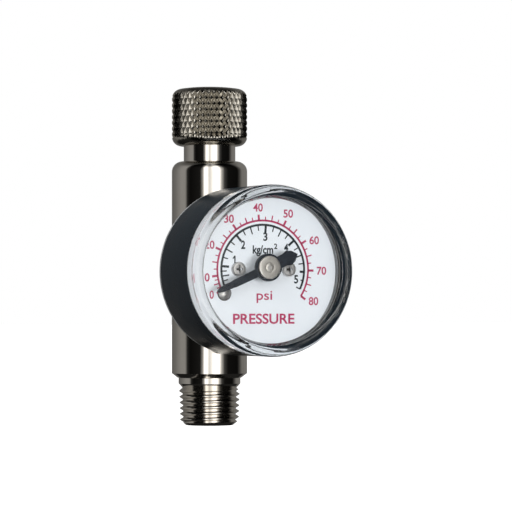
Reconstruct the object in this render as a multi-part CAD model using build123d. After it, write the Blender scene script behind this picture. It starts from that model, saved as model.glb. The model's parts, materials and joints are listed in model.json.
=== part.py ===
from build123d import *
import math
import os

# A small gas pressure regulator with a dial gauge. Millimetres and degrees.
# Origin: the centre of the inlet thread's end face. +Z runs up the body to the knob.
# The gauge faces -Y, and the outlet port faces +Y.

# Body outside
BODY_R = 6.0
BODY_BOTTOM = 7.54
BODY_TOP = 41.93
TOP_EDGE_R = 1.6
BOTTOM_CHAMFER_R = 0.9
BOTTOM_CHAMFER_H = 0.7
COLLAR_R = 4.93
COLLAR_BOTTOM = 6.61

# Inlet thread: tapered R 1/8, 28 turns to the inch, taper 1 in 16 on the diameter
THREAD_PITCH = 0.907
THREAD_TAPER = 1 / 32
THREAD_END_CREST_R = 4.65
THREAD_DEPTH = 0.52
THREAD_CREST_W = 0.13
THREAD_ROOT_W = 0.12
THREAD_CLEAR = 0.1
THREAD_LAST_CREST = 5.5
THREAD_RUN_OUT = 5.8
THREAD_TOP = 5.95
THREAD_CHAMFER_H = 0.75
THREAD_FACE_R = 3.75

# Body bores, from the inlet upwards
FILTER_BORE_R = 2.4
FILTER_BORE_TOP = 3.5
CIRCLIP_GROOVE_R = 2.65
CIRCLIP_LOW = 0.9
CIRCLIP_HIGH = 1.4
CIRCLIP_INNER_R = 1.9
CIRCLIP_GAP_HALF = 0.8
CIRCLIP_CLEAR = 0.05
CIRCLIP_EDGE_CLEAR = 0.03
INLET_BORE_R = 1.2
VALVE_CHAMBER_LOW = 9.0
VALVE_CHAMBER_R = 2.4
SEAT_LOW = 17.5
SEAT_HIGH = 20.5
SEAT_BORE_R = 3.05
PISTON_BORE_LOW = 27.0
PISTON_BORE_R = 3.55
NUT_LOW = 33.8
NUT_HIGH = 38.75
NUT_R = 4.03
MOUTH_R = 4.2
VENT_HEIGHT = 32.9
VENT_R = 0.35

# Outlet port at the rear
OUTLET_BOSS_R = 4.25
OUTLET_FACE = 8.5
OUTLET_DRILL_R = 2.1
OUTLET_CHAMFER = 0.4

# Valve train
FILTER_LOW = 1.5
HEAD_LOW = 14.6
HEAD_HIGH = 16.4
HEAD_R = 1.9
STEM_R = 0.6
STEM_TOP = 22.95
POPPET_GUIDE_R = 0.9
POPPET_GUIDE_LENGTH = 2.4
SEAL_HIGH = 17.2
SEAL_R = 1.8
ORIFICE_R = 1.0
SEAT_R = 3.0
SEAT_LIP_R = 1.5
SEAT_SLOT_HALF = 0.4
SEAT_SLOT_DEPTH = 0.6
SEAT_RING_MAJOR = 2.67
SEAT_RING_MINOR = 0.36
SEAT_RING_HEIGHT = 19.1
PISTON_R = 3.5
PISTON_LOW = 28.0
PISTON_HIGH = 32.0
PISTON_NOSE_R = 1.3
PISTON_NOSE_LOW = 23.0
PISTON_BOSS_R = 1.8
PISTON_BOSS_HIGH = 33.2
PISTON_RING_MAJOR = 3.13
PISTON_RING_MINOR = 0.4
PISTON_RING_HEIGHT = 30.0
RING_GROOVE_GAP = 0.05
RING_FLOOR_GAP = 0.01

# Springs: mean radius, wire radius, turns
VALVE_SPRING = (1.5, 0.2, 6)
RANGE_SPRING = (2.5, 0.42, 8)

# Adjusting screw and knob
BUTTON_LOW = 45.8
BUTTON_HIGH = 46.6
BUTTON_R = 3.1
BUTTON_BOSS_R = 1.9
BUTTON_BOSS_LOW = 44.8
BALL_R = 0.75
BALL_HEIGHT = 47.05
BALL_SOCKET_R = 0.77
SCREW_BORE_R = 3.2
SCREW_ROOF = 47.5
SCREW_LOW = 36.3
SCREW_THREAD_TOP = 41.1
SCREW_THREAD_R = 3.98
SCREW_PITCH = 0.75
SCREW_GROOVE = 0.28
NECK_R = 4.11
KNOB_LOW = 44.4
KNOB_TOP = 53.7
KNOB_R = 6.0
KNOB_EDGE_R = 1.5
SPIGOT_TOP = 51.5
SPIGOT_FLATS = 7.4
SPIGOT_SHOULDER = 45.25
TAP_LOW = 48.6
KNOB_SCREW_R = 1.0
KNOB_SCREW_HEAD_R = 1.9
KNOB_SCREW_HEAD_LOW = 52.7
KNOB_SCREW_HEAD_HIGH = 53.6
KNOB_RECESS_R = 2.1

# Gauge frame: its axis crosses the body's axis at this height
GAUGE_HEIGHT = 24.3
GAUGE = Plane(origin=(0, 0, GAUGE_HEIGHT), x_dir=(1, 0, 0), z_dir=(0, -1, 0))

# Gauge port, socket and case, as distances from the body's axis
PORT_FACE = 5.0
PORT_FACE_R = 4.1
PORT_R = 2.5
SOCKET_END = 3.2
SOCKET_SHOULDER = 5.6
SOCKET_R = 3.9
SOCKET_FLATS = 6.8
WASHER_R = 3.5
GAS_BORE_R = 0.8
CASE_R = 13.0
CASE_WALL = 0.6
CASE_BACK = 12.0
CASE_FRONT = 24.2
CASE_EDGE_R = 0.9
CASE_HOLE_R = 4.0
CASE_SCREW_X = 6.2
CASE_SCREW_R = 0.5
CASE_SCREW_HEAD_R = 1.0
CASE_SCREW_HEAD = 0.45
BLOCK_HALF_W = 3.5
BLOCK_LOW_Y = -10.8
BLOCK_HIGH_Y = 2.6
BLOCK_FRONT = 16.8
LUG_FRONT = 14.2
LUG_HALF_W = 7.6
LUG_HALF_H = 1.5

# Bourdon tube: from its brazed root clockwise over the top to its tip
TUBE_R = 9.6
TUBE_THICK = 0.9
TUBE_WALL = 0.15
TUBE_LOW = 13.2
TUBE_HIGH = 16.4
TUBE_TIP_ANGLE = -10
TUBE_ARC = 250
TIP_ARC = 7
TIP_PIN = (8.9, -4.5)
TIP_PLUG_WALL = 0.3
TIP_ARM_HALF = 0.5
TIP_ARM_TOP_Y = -2.0
LINK_PIN_R = 0.25
LINK_WIDTH = 1.1
LINK_TIP_HOLE_R = 0.38

# Movement
PINION_Y = 0.5
GEAR_MODULE = 0.15
PINION_TEETH = 10
SECTOR_TEETH_FULL = 80
SECTOR_TEETH_SIDE = 5
SECTOR_REST_ANGLE = 76.5
PINION_PITCH_R = GEAR_MODULE * PINION_TEETH / 2
SECTOR_PITCH_R = GEAR_MODULE * SECTOR_TEETH_FULL / 2
SECTOR_Y = PINION_Y - PINION_PITCH_R - SECTOR_PITCH_R
TAIL_R = 2.2
TAIL_ANGLE = -105
BACKLASH = 0.03
SECTOR_HUB_R = 1.0
SECTOR_RIM = 0.9
SECTOR_SPOKE_HALF = 0.35
SECTOR_TAIL_HALF = 0.5
PRESSURE_ANGLE = math.radians(20)
ARBOR_R = 0.35
PIVOT_R = 0.25
PIVOT_HOLE_R = 0.28
ARBOR_HOLE_R = 0.39
PLATE_LOW = (16.8, 17.3)
LINK_LAYER = (17.6, 18.0)
SECTOR_LAYER = (18.4, 19.0)
PINION_LAYER = (18.3, 19.3)
HAIRSPRING_LAYER = (19.5, 19.9)
PLATE_HIGH = (20.2, 20.7)
MOVEMENT_PLATE = (8.2, 13.0, 1.2)
MOVEMENT_PLATE_Y = -3.9
PILLARS = ((-3.3, 1.6), (3.3, 1.6), (-2.8, -9.4), (2.8, -9.4))
PILLAR_R = 0.6
MOVEMENT_SCREW_R = 0.3
MOVEMENT_SCREW_HEAD_R = 0.65
MOVEMENT_SCREW_HEAD = 0.4
BLOCK_SCREWS = ((-2.3, -3.4), (2.3, -3.4))
BLOCK_SCREW_HEAD = 0.25
HAIRSPRING_INNER_R = 0.45
HAIRSPRING_STEP = 0.22
HAIRSPRING_HALF_TURNS = 8
HAIRSPRING_THICK = 0.09

# Dial, pointer and lens
DIAL_R = 12.25
DIAL_BACK = 22.4
DIAL_FRONT = 22.8
DIAL_HOLE_R = 1.2
DIAL_SCREW_X = 4.15
DIAL_SCREW_Y = 0.25
DIAL_SCREW_R = 0.35
DIAL_SCREW_HEAD_R = 1.15
DIAL_SCREW_HEAD = 0.5
DIAL_SCREW_CROSS = (0.62, 0.17)
DIAL_SCREW_TIP = 1.2
POST_R = 0.8
STUD_PLACE = (-6.47, -3.45)
STUD_R = 1.15
STUD_DOME_R = 1.7
POINTER_LOW = 24.75
POINTER_HIGH = 25.0
POINTER_REST_ANGLE = 180 + 24.0
POINTER_BOSS_R = 2.1
POINTER_BLADE = ((9.2, 0), (8.9, 0.25), (7.9, 0.45), (6.3, 0.52), (6.0, 0.59), (0, 0.66))
POINTER_TAIL = ((-1.2, 0.92), (-2.9, 0.95), (-3.6, 1.18), (-4.4, 0.85), (-5.15, 0))
POINTER_BOSS_LOW = 24.35
HUB_R = 1.75
HUB_CHAMFER = 0.12
HUB_HIGH = 25.45
STAFF_TOP = 25.3
LENS_FRONT = 27.5
LENS_SHOULDER = 26.7
LENS_CORNER = ((12.75, 27.2), (12.2, LENS_FRONT), (12.0, LENS_FRONT))
WINDOW_R = 10.97
WINDOW_FRONT = 26.12
WINDOW_BACK = 25.6
WINDOW_CORNER = 0.15
LENS_SKIRT_OUT = 12.35
LENS_SKIRT_IN = 12.0
LENS_SKIRT_BACK = 22.85

BASE = (Align.CENTER, Align.CENTER, Align.MIN)


def rod(radius, low, high):
    """A cylinder about Z between two heights."""
    return Pos(0, 0, low) * Cylinder(radius, high - low, align=BASE)


def ring(inner, outer, low, high):
    """A tube about Z between two heights."""
    return rod(outer, low, high) - rod(inner, low, high)


def turned(*outline):
    """A solid of revolution about Z from (radius, height) points."""
    return revolve(make_face(Plane.XZ * Polyline(*outline, close=True)), Axis.Z)


def arc_bar(inner, outer, low, high, start, sweep_angle):
    """A rectangular bar bent around Z from the start angle through the sweep."""
    middle = Pos((inner + outer) / 2, (low + high) / 2)
    section = Plane.XZ * middle * Rectangle(outer - inner, high - low)
    return Rot(0, 0, start) * revolve(section, Axis.Z, sweep_angle)


def bar(x_low, x_high, y_low, y_high, low, high):
    """A rectangular block between six limits."""
    centre = Pos((x_low + x_high) / 2, (y_low + y_high) / 2, low)
    return centre * Box(x_high - x_low, y_high - y_low, high - low, align=BASE)


def across(radius, length, height):
    """A cylinder along +Y from the body's axis at one height."""
    return Pos(0, 0, height) * Rot(-90, 0, 0) * Cylinder(radius, length, align=BASE)


def coil(mean_radius, wire_radius, turns, low, high):
    """A compression spring with flat ground ends."""
    pitch = (high - low) / turns
    path = Pos(0, 0, low) * Helix(pitch, high - low, mean_radius)
    section = Plane(origin=path @ 0, z_dir=path % 0) * Circle(wire_radius)
    wire = sweep(section, path, is_frenet=True)
    return wire & rod(mean_radius + 2 * wire_radius, low, high)


def round_seal(major, minor, height):
    """A rubber ring about Z."""
    return Pos(0, 0, height) * Torus(major, minor)


def thread_crest(height):
    """Radius of the inlet thread's crest at one height."""
    return THREAD_END_CREST_R + height * THREAD_TAPER


def thread_groove():
    """The helical groove between the crests of the tapered inlet thread."""
    cone = math.degrees(math.atan(THREAD_TAPER))
    rise = THREAD_RUN_OUT + THREAD_PITCH
    path = Pos(0, 0, -THREAD_PITCH) * Helix(THREAD_PITCH, rise, thread_crest(-THREAD_PITCH), cone_angle=cone)
    crest_gap = THREAD_PITCH - THREAD_CREST_W
    flank = (crest_gap - THREAD_ROOT_W) / 2 / THREAD_DEPTH
    outer_half = crest_gap / 2 + flank * THREAD_CLEAR
    section = Polyline(
        (-THREAD_DEPTH, -THREAD_ROOT_W / 2),
        (THREAD_CLEAR, -outer_half),
        (THREAD_CLEAR, outer_half),
        (-THREAD_DEPTH, THREAD_ROOT_W / 2),
        close=True,
    )
    start = Plane(origin=path @ 0, x_dir=(1, 0, 0), z_dir=(0, -1, 0))
    return sweep(start * make_face(section), path, is_frenet=True)


def inlet_thread():
    """The tapered male thread with its lead chamfer and run-out cone."""
    blank = turned(
        (0, 0),
        (THREAD_FACE_R, 0),
        (thread_crest(THREAD_CHAMFER_H), THREAD_CHAMFER_H),
        (thread_crest(THREAD_LAST_CREST), THREAD_LAST_CREST),
        (thread_crest(THREAD_TOP) - THREAD_DEPTH, THREAD_TOP),
        (COLLAR_R, COLLAR_BOTTOM),
        (0, COLLAR_BOTTOM),
    )
    return blank - thread_groove()


def body_outside():
    """The body's barrel, collar, thread and outlet boss."""
    barrel = rod(BODY_R, BODY_BOTTOM, BODY_TOP)
    barrel = fillet(barrel.edges().filter_by(GeomType.CIRCLE).sort_by(Axis.Z)[-1], TOP_EDGE_R)
    bottom_edge = barrel.edges().filter_by(GeomType.CIRCLE).sort_by(Axis.Z)[0]
    barrel = chamfer(bottom_edge, BOTTOM_CHAMFER_H, BOTTOM_CHAMFER_R)
    collar = rod(COLLAR_R, COLLAR_BOTTOM, BODY_BOTTOM)
    boss = across(OUTLET_BOSS_R, OUTLET_FACE, GAUGE_HEIGHT)
    face_edge = boss.edges().filter_by(GeomType.CIRCLE).sort_by(Axis.Y)[-1]
    boss = chamfer(face_edge, OUTLET_CHAMFER)
    return barrel + collar + boss + inlet_thread()


def body_bores():
    """Everything that is bored out of the body along its axis."""
    return (
        rod(FILTER_BORE_R, 0, FILTER_BORE_TOP)
        + rod(CIRCLIP_GROOVE_R, CIRCLIP_LOW, CIRCLIP_HIGH)
        + rod(INLET_BORE_R, FILTER_BORE_TOP, VALVE_CHAMBER_LOW)
        + rod(VALVE_CHAMBER_R, VALVE_CHAMBER_LOW, SEAT_LOW)
        + rod(SEAT_BORE_R, SEAT_LOW, PISTON_BORE_LOW)
        + rod(PISTON_BORE_R, PISTON_BORE_LOW, NUT_LOW)
        + rod(NUT_R, NUT_LOW, NUT_HIGH)
        + rod(MOUTH_R, NUT_HIGH, BODY_TOP)
    )


def regulator_body():
    """The bored body with its outlet, vent, gauge port and the flat round it."""
    outlet = across(OUTLET_DRILL_R, OUTLET_FACE, GAUGE_HEIGHT)
    lead_in = Cone(OUTLET_DRILL_R, OUTLET_DRILL_R + OUTLET_CHAMFER, OUTLET_CHAMFER, align=BASE)
    lead_in = Pos(0, OUTLET_FACE - OUTLET_CHAMFER, GAUGE_HEIGHT) * Rot(-90, 0, 0) * lead_in
    vent = across(VENT_R, BODY_R + 1, VENT_HEIGHT)
    port = GAUGE * rod(PORT_R, 0, BODY_R)
    spot_face = GAUGE * rod(PORT_FACE_R, PORT_FACE, BODY_R + 1)
    return body_outside() - body_bores() - outlet - lead_in - vent - port - spot_face


def filter_circlip():
    """The split spring ring that keeps the filter in."""
    outer = CIRCLIP_GROOVE_R - CIRCLIP_EDGE_CLEAR
    clip = ring(CIRCLIP_INNER_R, outer, CIRCLIP_LOW + CIRCLIP_CLEAR, CIRCLIP_HIGH - CIRCLIP_CLEAR)
    return clip - bar(-CIRCLIP_GAP_HALF, CIRCLIP_GAP_HALF, -CIRCLIP_GROOVE_R, 0, 0, CIRCLIP_HIGH)


def valve_poppet():
    """The valve's head, its guide below and its push stem above."""
    guide = rod(POPPET_GUIDE_R, HEAD_LOW - POPPET_GUIDE_LENGTH, HEAD_LOW)
    return guide + rod(HEAD_R, HEAD_LOW, HEAD_HIGH) + rod(STEM_R, HEAD_HIGH, STEM_TOP)


def valve_seat():
    """Screwed-in insert with a raised lip below, an O-ring groove and a driver slot."""
    insert = rod(SEAT_R, SEAT_LOW, SEAT_HIGH) + rod(SEAT_LIP_R, SEAL_HIGH, SEAT_LOW)
    groove_h = SEAT_RING_MINOR + RING_GROOVE_GAP
    floor_r = SEAT_RING_MAJOR - SEAT_RING_MINOR - RING_FLOOR_GAP
    insert -= ring(floor_r, SEAT_R, SEAT_RING_HEIGHT - groove_h, SEAT_RING_HEIGHT + groove_h)
    insert -= bar(-SEAT_R, SEAT_R, -SEAT_SLOT_HALF, SEAT_SLOT_HALF, SEAT_HIGH - SEAT_SLOT_DEPTH, SEAT_HIGH)
    return insert - rod(ORIFICE_R, SEAL_HIGH, SEAT_HIGH)


def piston():
    """The crown with its O-ring groove, the nose that pushes the poppet, and the spring boss."""
    crown = rod(PISTON_R, PISTON_LOW, PISTON_HIGH)
    groove_h = PISTON_RING_MINOR + RING_GROOVE_GAP
    floor_r = PISTON_RING_MAJOR - PISTON_RING_MINOR - RING_FLOOR_GAP
    crown -= ring(floor_r, PISTON_R, PISTON_RING_HEIGHT - groove_h, PISTON_RING_HEIGHT + groove_h)
    nose = rod(PISTON_NOSE_R, PISTON_NOSE_LOW, PISTON_LOW)
    return crown + nose + rod(PISTON_BOSS_R, PISTON_HIGH, PISTON_BOSS_HIGH)


def ball_socket():
    """The clearance sphere that seats the thrust ball."""
    return Pos(0, 0, BALL_HEIGHT) * Sphere(BALL_SOCKET_R)


def spring_button():
    """The plate on top of the range spring, with the ball's seat."""
    plate = rod(BUTTON_R, BUTTON_LOW, BUTTON_HIGH) + rod(BUTTON_BOSS_R, BUTTON_BOSS_LOW, BUTTON_LOW)
    return plate - ball_socket()


def spigot_flats():
    """The two flats that stop the knob turning on its spigot."""
    half = SPIGOT_FLATS / 2
    return bar(-half, half, -NECK_R - 1, NECK_R + 1, SPIGOT_SHOULDER, SPIGOT_TOP)


def adjusting_screw():
    """Hollow screw: grooved thread below, plain neck, and a flatted spigot inside the knob."""
    screw = rod(SCREW_THREAD_R, SCREW_LOW, SCREW_THREAD_TOP)
    grooves = int((SCREW_THREAD_TOP - SCREW_LOW) / SCREW_PITCH)
    for turn in range(grooves):
        middle = SCREW_LOW + (turn + 0.5) * SCREW_PITCH
        screw -= turned(
            (SCREW_THREAD_R + 0.01, middle - SCREW_GROOVE),
            (SCREW_THREAD_R - SCREW_GROOVE, middle),
            (SCREW_THREAD_R + 0.01, middle + SCREW_GROOVE),
        )
    screw += rod(NECK_R, SCREW_THREAD_TOP, SPIGOT_SHOULDER)
    screw += rod(NECK_R, SPIGOT_SHOULDER, SPIGOT_TOP) & spigot_flats()
    screw -= rod(SCREW_BORE_R, SCREW_LOW, SCREW_ROOF)
    return screw - ball_socket() - rod(KNOB_SCREW_R, TAP_LOW, SPIGOT_TOP)


def adjusting_knob():
    """The cap, at the size over its knurl."""
    cap = rod(KNOB_R, KNOB_LOW, KNOB_TOP)
    cap = fillet(cap.edges().filter_by(GeomType.CIRCLE), KNOB_EDGE_R)
    socket = rod(NECK_R, KNOB_LOW, SPIGOT_SHOULDER)
    socket += rod(NECK_R, SPIGOT_SHOULDER, SPIGOT_TOP) & spigot_flats()
    cap -= socket + rod(KNOB_SCREW_R + 0.1, SPIGOT_TOP, KNOB_TOP)
    return cap - rod(KNOB_RECESS_R, KNOB_SCREW_HEAD_LOW, KNOB_TOP)


def slotted_screw(radius, tip, seat, head_radius, head):
    """A round-headed screw about Z, with a driver slot and its head above the seat."""
    screw = rod(radius, tip, seat) + rod(head_radius, seat, seat + head)
    top_edge = screw.edges().filter_by(GeomType.CIRCLE).sort_by(Axis.Z)[-1]
    screw = fillet(top_edge, head / 3)
    slot = bar(-head_radius, head_radius, -head / 5, head / 5, seat + head / 2, seat + head)
    return screw - slot


def knob_screw():
    head = KNOB_SCREW_HEAD_HIGH - KNOB_SCREW_HEAD_LOW
    return slotted_screw(
        KNOB_SCREW_R - 0.02, TAP_LOW + 0.3, KNOB_SCREW_HEAD_LOW, KNOB_SCREW_HEAD_R, head
    )


def bourdon_tube(wall=TUBE_WALL):
    """The flattened C-shaped tube. With no wall thickness it is the solid outer form."""
    half = TUBE_THICK / 2
    tube = arc_bar(TUBE_R - half, TUBE_R + half, TUBE_LOW, TUBE_HIGH, TUBE_TIP_ANGLE, TUBE_ARC)
    if wall == 0:
        return tube
    bore_r = half - wall
    bore = arc_bar(
        TUBE_R - bore_r, TUBE_R + bore_r, TUBE_LOW + wall, TUBE_HIGH - wall, TUBE_TIP_ANGLE, TUBE_ARC
    )
    return tube - bore


def gauge_socket():
    """Stem, wrench flats and the block that carries the tube and the movement."""
    stem = rod(PORT_R - 0.02, SOCKET_END, SOCKET_SHOULDER)
    neck = rod(SOCKET_R, SOCKET_SHOULDER, CASE_BACK + CASE_WALL)
    half = SOCKET_FLATS / 2
    neck &= bar(-SOCKET_R, SOCKET_R, -half, half, SOCKET_SHOULDER, CASE_BACK) + rod(
        SOCKET_R, CASE_BACK - 1, CASE_BACK + CASE_WALL
    )
    inside = CASE_BACK + CASE_WALL
    block = bar(-BLOCK_HALF_W, BLOCK_HALF_W, BLOCK_LOW_Y, BLOCK_HIGH_Y, inside, BLOCK_FRONT)
    lugs = bar(-LUG_HALF_W, LUG_HALF_W, -LUG_HALF_H, LUG_HALF_H, inside, LUG_FRONT)
    socket = stem + neck + block + lugs - bourdon_tube(wall=0)
    tube_middle = (TUBE_LOW + TUBE_HIGH) / 2
    socket -= rod(GAS_BORE_R, SOCKET_END, tube_middle)
    cross_bore = Pos(0, 0, tube_middle) * Rot(90, 0, 0) * Cylinder(GAS_BORE_R, TUBE_R, align=BASE)
    socket -= cross_bore
    for side in (-1, 1):
        socket -= Pos(side * CASE_SCREW_X, 0, 0) * rod(CASE_SCREW_R, inside, LUG_FRONT)
    for x, y in BLOCK_SCREWS:
        socket -= Pos(x, y, 0) * rod(MOVEMENT_SCREW_R, BLOCK_FRONT - 2, BLOCK_FRONT)
    return socket


def gauge_case():
    """The pressed steel cup."""
    cup = rod(CASE_R, CASE_BACK, CASE_FRONT)
    back_edge = cup.edges().filter_by(GeomType.CIRCLE).sort_by(Axis.Z)[0]
    cup = fillet(back_edge, CASE_EDGE_R)
    cup -= rod(CASE_R - CASE_WALL, CASE_BACK + CASE_WALL, CASE_FRONT)
    cup -= rod(CASE_HOLE_R, CASE_BACK, CASE_BACK + CASE_WALL)
    for side in (-1, 1):
        cup -= Pos(side * CASE_SCREW_X, 0, 0) * rod(CASE_SCREW_R + 0.05, CASE_BACK, CASE_BACK + CASE_WALL)
    return cup


def case_screws():
    """Two screws that hold the case on the socket, heads behind the case."""
    screw = Rot(180, 0, 0) * slotted_screw(
        CASE_SCREW_R - 0.01, -LUG_FRONT, -CASE_BACK, CASE_SCREW_HEAD_R, CASE_SCREW_HEAD
    )
    return Pos(-CASE_SCREW_X, 0, 0) * screw + Pos(CASE_SCREW_X, 0, 0) * screw


def tube_tip():
    """The end plug of the tube, with an arm down to the link pin."""
    half = TUBE_THICK / 2 + TIP_PLUG_WALL
    plug = arc_bar(
        TUBE_R - half, TUBE_R + half, TUBE_LOW - 0.1, TUBE_HIGH + 0.1, TUBE_TIP_ANGLE - TIP_ARC, TIP_ARC
    )
    x, y = TIP_PIN
    reach = TIP_ARM_HALF
    arm = bar(x - reach, x + reach, y - reach, TIP_ARM_TOP_Y, TUBE_HIGH - reach, TUBE_HIGH + 0.1)
    pin = Pos(x, y, 0) * rod(LINK_PIN_R, TUBE_HIGH, LINK_LAYER[1] + 0.1)
    return plug + arm + pin


def tail_pin_place():
    """Where the sector's tail pin stands at rest."""
    angle = math.radians(TAIL_ANGLE)
    return TAIL_R * math.cos(angle), SECTOR_Y + TAIL_R * math.sin(angle)


def link():
    """A flat strip from the tube's tip to the sector's tail."""
    tail_x, tail_y = tail_pin_place()
    tip_x, tip_y = TIP_PIN
    length = math.hypot(tip_x - tail_x, tip_y - tail_y)
    angle = math.degrees(math.atan2(tip_y - tail_y, tip_x - tail_x))
    thick = LINK_LAYER[1] - LINK_LAYER[0]
    strip = Pos(length / 2, 0) * SlotCenterToCenter(length, LINK_WIDTH)
    strip -= Circle(PIVOT_HOLE_R)
    strip -= Pos(length, 0) * Circle(LINK_TIP_HOLE_R)
    return Pos(tail_x, tail_y, LINK_LAYER[0]) * Rot(0, 0, angle) * extrude(strip, thick)


def involute(angle):
    return math.tan(angle) - angle


def gear_tooth(teeth, addendum, dedendum, low, high):
    """One involute tooth pointing along +X."""
    pitch_r = GEAR_MODULE * teeth / 2
    base_r = pitch_r * math.cos(PRESSURE_ANGLE)
    root_r = pitch_r - dedendum * GEAR_MODULE
    half_at_pitch = math.pi / (2 * teeth) - BACKLASH / (2 * pitch_r)
    flank = [(root_r - 0.03, None)]
    for share in (0.0, 0.5, 1.0):
        radius = max(root_r, base_r) + share * (pitch_r + addendum * GEAR_MODULE - max(root_r, base_r))
        at_radius = math.acos(min(1.0, base_r / radius))
        flank.append((radius, half_at_pitch + involute(PRESSURE_ANGLE) - involute(at_radius)))
    flank[0] = (flank[0][0], flank[1][1])
    upper = [(r * math.cos(a), r * math.sin(a)) for r, a in flank]
    lower = [(x, -y) for x, y in reversed(upper)]
    return Pos(0, 0, low) * extrude(make_face(Polyline(*upper, *lower, close=True)), high - low)


def sector_gear():
    """The toothed sector, its tail and the link pin, about its own pivot."""
    low, high = SECTOR_LAYER
    root_r = SECTOR_PITCH_R - 1.25 * GEAR_MODULE
    tooth_angle = 360 / SECTOR_TEETH_FULL
    side_angle = (SECTOR_TEETH_SIDE + 0.5) * tooth_angle
    start = SECTOR_REST_ANGLE - side_angle
    gear = rod(SECTOR_HUB_R, low, high)
    gear += arc_bar(root_r - SECTOR_RIM, root_r, low, high, start, 2 * side_angle)
    for spoke in (-0.75, 0.75):
        turn = Rot(0, 0, SECTOR_REST_ANGLE + spoke * side_angle)
        gear += turn * bar(0, root_r - SECTOR_RIM / 2, -SECTOR_SPOKE_HALF, SECTOR_SPOKE_HALF, low, high)
    tooth = gear_tooth(SECTOR_TEETH_FULL, 0.8, 1.25, low, high)
    for number in range(-SECTOR_TEETH_SIDE, SECTOR_TEETH_SIDE + 1):
        gear += Rot(0, 0, SECTOR_REST_ANGLE + number * tooth_angle) * tooth
    half = SECTOR_TAIL_HALF
    gear += Rot(0, 0, TAIL_ANGLE) * bar(0, TAIL_R + half, -half, half, low, high)
    gear += Rot(0, 0, TAIL_ANGLE) * Pos(TAIL_R, 0, 0) * rod(PIVOT_R, LINK_LAYER[0] - 0.1, low)
    gear -= rod(ARBOR_R, low, high)
    return Pos(0, SECTOR_Y, 0) * gear


def sector_arbor():
    shaft = rod(ARBOR_R, PLATE_LOW[1] + 0.1, PLATE_HIGH[0] - 0.1)
    return Pos(0, SECTOR_Y, 0) * (shaft + rod(PIVOT_R, PLATE_LOW[0] + 0.1, PLATE_HIGH[1] - 0.1))


def pinion():
    """The toothed pinion and the staff that carries the pointer."""
    low, high = PINION_LAYER
    gear = rod(PINION_PITCH_R - 1.3 * GEAR_MODULE, low, high)
    tooth = gear_tooth(PINION_TEETH, 0.9, 1.3, low, high)
    tooth_angle = 360 / PINION_TEETH
    for number in range(PINION_TEETH):
        gear += Rot(0, 0, -90 + (number + 0.5) * tooth_angle) * tooth
    staff = rod(ARBOR_R, PLATE_LOW[1] + 0.1, STAFF_TOP) + rod(PIVOT_R, PLATE_LOW[0] + 0.1, low)
    return Pos(0, PINION_Y, 0) * (gear + staff)


def hairspring():
    """A flat spiral strip made of half circles, centred on the staff."""
    low, high = HAIRSPRING_LAYER
    spring = ring(ARBOR_R, HAIRSPRING_INNER_R, low, high)
    half = HAIRSPRING_THICK / 2
    for number in range(HAIRSPRING_HALF_TURNS):
        radius = HAIRSPRING_INNER_R + (number + 0.5) * HAIRSPRING_STEP / 2
        side = 1 if number % 2 == 0 else -1
        strip = arc_bar(radius - half, radius + half, low, high, 90 - 90 * side, 180)
        spring += Pos(side * HAIRSPRING_STEP / 4, 0, 0) * strip
    return Pos(0, PINION_Y, 0) * spring


def hairspring_outer_x():
    """Where the spiral's outer end lies, beside the staff."""
    last = HAIRSPRING_HALF_TURNS - 1
    radius = HAIRSPRING_INNER_R + (last + 0.5) * HAIRSPRING_STEP / 2
    return radius - HAIRSPRING_STEP / 4


def hairspring_stud():
    """The pin under the upper plate that holds the spiral's outer end."""
    x = hairspring_outer_x() + HAIRSPRING_THICK / 2 + 0.2
    return Pos(x, PINION_Y, 0) * rod(0.2, HAIRSPRING_LAYER[0], PLATE_HIGH[0])


def plate_outline():
    """The shape that both movement plates share."""
    return Pos(0, MOVEMENT_PLATE_Y) * RectangleRounded(*MOVEMENT_PLATE)


def movement_plate(layer, holes):
    """A brass plate with (x, y, radius) holes."""
    sheet = plate_outline()
    for x, y, radius in holes:
        sheet -= Pos(x, y) * Circle(radius)
    return Pos(0, 0, layer[0]) * extrude(sheet, layer[1] - layer[0])


def movement_plate_lower():
    holes = [(0, SECTOR_Y, PIVOT_HOLE_R), (0, PINION_Y, PIVOT_HOLE_R)]
    holes += [(x, y, MOVEMENT_SCREW_R + 0.05) for x, y in BLOCK_SCREWS]
    return movement_plate(PLATE_LOW, holes)


def movement_plate_upper():
    holes = [(0, SECTOR_Y, PIVOT_HOLE_R), (0, PINION_Y, ARBOR_HOLE_R)]
    holes += [(x, y, MOVEMENT_SCREW_R + 0.05) for x, y in PILLARS]
    plate = movement_plate(PLATE_HIGH, holes)
    reach = DIAL_SCREW_X + POST_R + 0.2
    for side in (-1, 1):
        x_low, x_high = sorted((side * 4.05, side * reach))
        plate += bar(x_low, x_high, DIAL_SCREW_Y - 1.1, DIAL_SCREW_Y + 1.1, *PLATE_HIGH)
    return plate


def movement_pillars():
    pillar = ring(MOVEMENT_SCREW_R, PILLAR_R, PLATE_LOW[1], PLATE_HIGH[0])
    return sum((Pos(x, y, 0) * pillar for x, y in PILLARS[1:]), Pos(*PILLARS[0], 0) * pillar)


def small_screws(places, tip, seat, head):
    """Identical slotted movement screws at (x, y) places."""
    screw = slotted_screw(MOVEMENT_SCREW_R, tip, seat, MOVEMENT_SCREW_HEAD_R, head)
    return sum((Pos(x, y, 0) * screw for x, y in places[1:]), Pos(*places[0], 0) * screw)


def dial_posts():
    post = ring(DIAL_SCREW_R, POST_R, PLATE_HIGH[1], DIAL_BACK)
    return Pos(-DIAL_SCREW_X, DIAL_SCREW_Y, 0) * post + Pos(DIAL_SCREW_X, DIAL_SCREW_Y, 0) * post


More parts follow.
